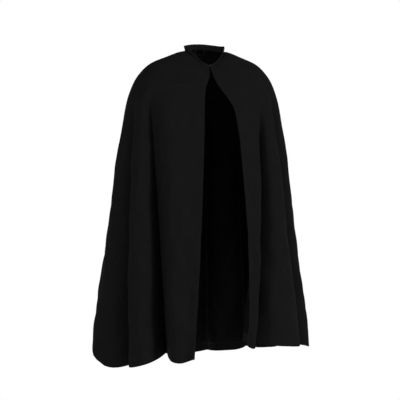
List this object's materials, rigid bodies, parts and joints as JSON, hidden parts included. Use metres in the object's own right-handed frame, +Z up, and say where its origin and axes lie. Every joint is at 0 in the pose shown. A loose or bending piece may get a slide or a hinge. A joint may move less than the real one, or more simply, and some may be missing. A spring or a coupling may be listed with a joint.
{
  "type": "cape",
  "caption": "Full-length black wool cape with a narrow stand collar, hook-and-eye throat clasp, satin lining, open fronts that swing wide, and a hanging loop inside the nape.",
  "frame": {"origin": "on the wearer's neck axis, at the height of the throat clasp", "axes": "+Z up, wearer's front towards -Y, wearer's right towards -X, wearer's left towards +X"},
  "size_m": [0.8232, 0.5971, 1.1866],
  "materials": {
    "wool": "brushed melton wool, matte",
    "satin": "black acetate satin, soft sheen",
    "tape": "woven cotton tape, matte",
    "canvas": "stiffened canvas, hidden in the collar",
    "clasp": "black enamelled brass wire, satin",
    "weight": "dull flat weight tape, hidden in the hem"
  },
  "bodies": {
    "cape_back": {"shell_back_right": "wool", "shell_back_left": "wool", "outer_collar": "wool", "inner_collar": "wool", "lining_back_right": "satin", "lining_back_left": "satin", "neck_stay_tape": "tape", "blank_label": "tape", "swing_tack_right": "tape", "swing_tack_centre": "tape", "swing_tack_left": "tape", "collar_interlining": "canvas", "clasp_hook": "clasp", "clasp_eye": "clasp"},
    "front_right": {"shell_front_right": "wool", "lining_front_right": "satin", "facing_right": "wool", "edge_tape_right": "tape", "hem_weight_right": "weight"},
    "front_left": {"shell_front_left": "wool", "lining_front_left": "satin", "facing_left": "wool", "edge_tape_left": "tape", "hem_weight_left": "weight"},
    "hanging_loop": {"hanger_loop": "tape"}
  },
  "joints": [
    {"name": "right_front_swing", "type": "hinge", "parent": "cape_back", "child": "front_right", "pos_m": [0, -0.068, 0], "axis": [0, 0, 1], "range_deg": [-30, 30], "deforming": ["shell_front_right", "lining_front_right", "facing_right", "edge_tape_right", "hem_weight_right"]},
    {"name": "left_front_swing", "type": "hinge", "parent": "cape_back", "child": "front_left", "pos_m": [0, -0.068, 0], "axis": [0, 0, 1], "range_deg": [-16, 35], "deforming": ["shell_front_left", "lining_front_left", "facing_left", "edge_tape_left", "hem_weight_left"]},
    {"name": "hanging_loop_flip", "type": "hinge", "parent": "cape_back", "child": "hanging_loop", "pos_m": [0, 0.0512, 0.067], "axis": [1, 0, 0], "range_deg": [-145, 5]}
  ]
}
